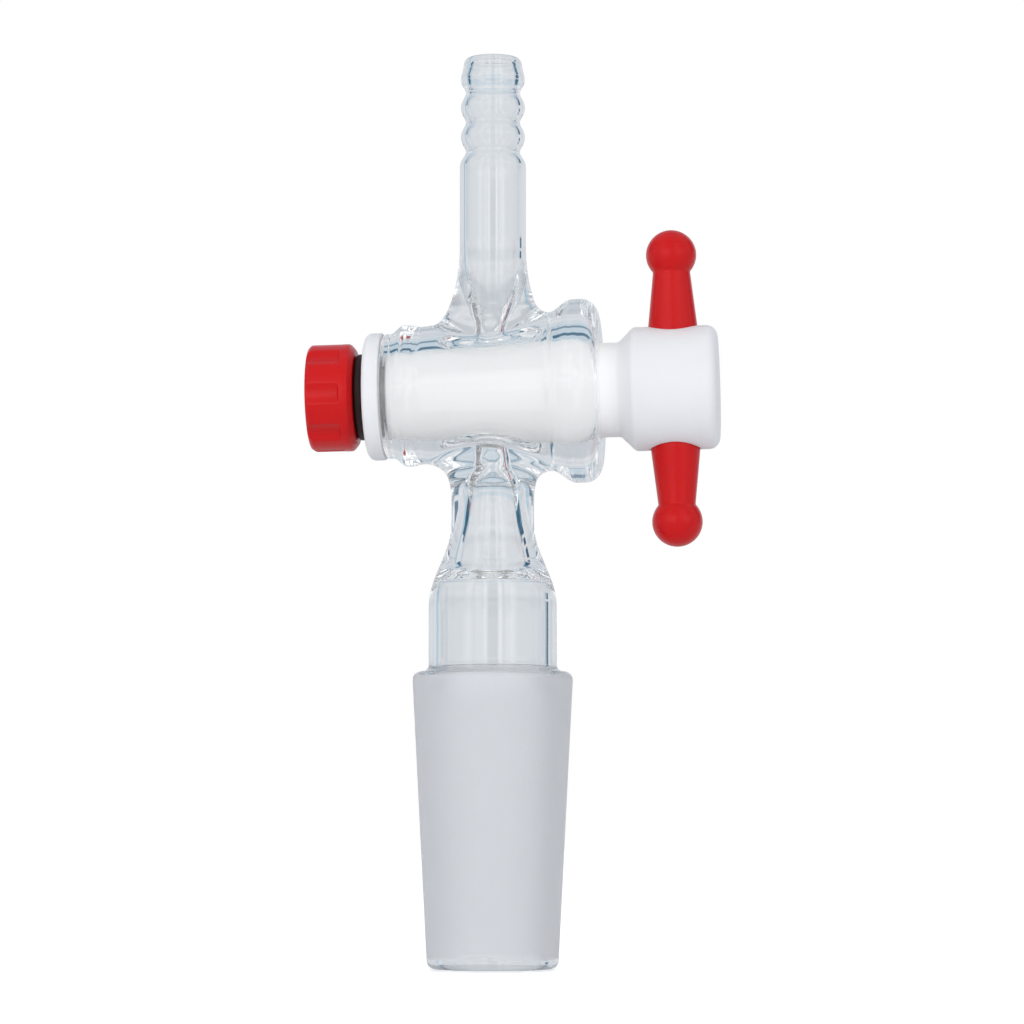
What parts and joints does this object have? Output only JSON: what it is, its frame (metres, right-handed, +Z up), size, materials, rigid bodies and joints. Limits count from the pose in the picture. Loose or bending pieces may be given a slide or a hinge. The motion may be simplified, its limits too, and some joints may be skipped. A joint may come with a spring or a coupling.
{
  "type": "glass stopcock",
  "caption": "Clear glass stopcock adapter: barbed hose arm, ground taper joint, and a white plug with a red bar handle, held by a washer, ring and fluted nut.",
  "frame": {"origin": "centre of the ground joint's lower end, on the stem's axis", "axes": "+Z up along the stem towards the hose arm, +X along the barrel towards the handle"},
  "size_m": [0.0619, 0.0276, 0.1372],
  "materials": {
    "glass": "clear, with the joint's cone ground",
    "white_plastic": "waxy satin",
    "red_plastic": "moulded satin",
    "black_rubber": "smooth"
  },
  "bodies": {
    "glass": {"glass_body": "glass"},
    "plug_set": {"plug": "white_plastic", "handle_bar": "red_plastic", "washer": "white_plastic"},
    "tension_ring": {"o_ring": "black_rubber"},
    "tension_nut": {"nut": "red_plastic"}
  },
  "joints": [
    {"name": "plug_turn", "type": "hinge", "parent": "glass", "child": "plug_set", "pos_m": [0, 0, 0.0861], "axis": [0.9998, 0, 0.0209], "continuous": true},
    {"name": "nut_travel", "type": "slide", "parent": "plug_set", "child": "tension_ring", "axis": [-0.9998, 0, -0.0209], "range_m": [0, 0.0045]},
    {"name": "nut_turn", "type": "hinge", "parent": "tension_ring", "child": "tension_nut", "pos_m": [0, 0, 0.0861], "axis": [-0.9998, 0, -0.0209], "range_deg": [0, 1080]}
  ],
  "couplings": [
    {"joint": "nut_turn", "follows": "nut_travel", "rad_per_m": 4188.8}
  ]
}
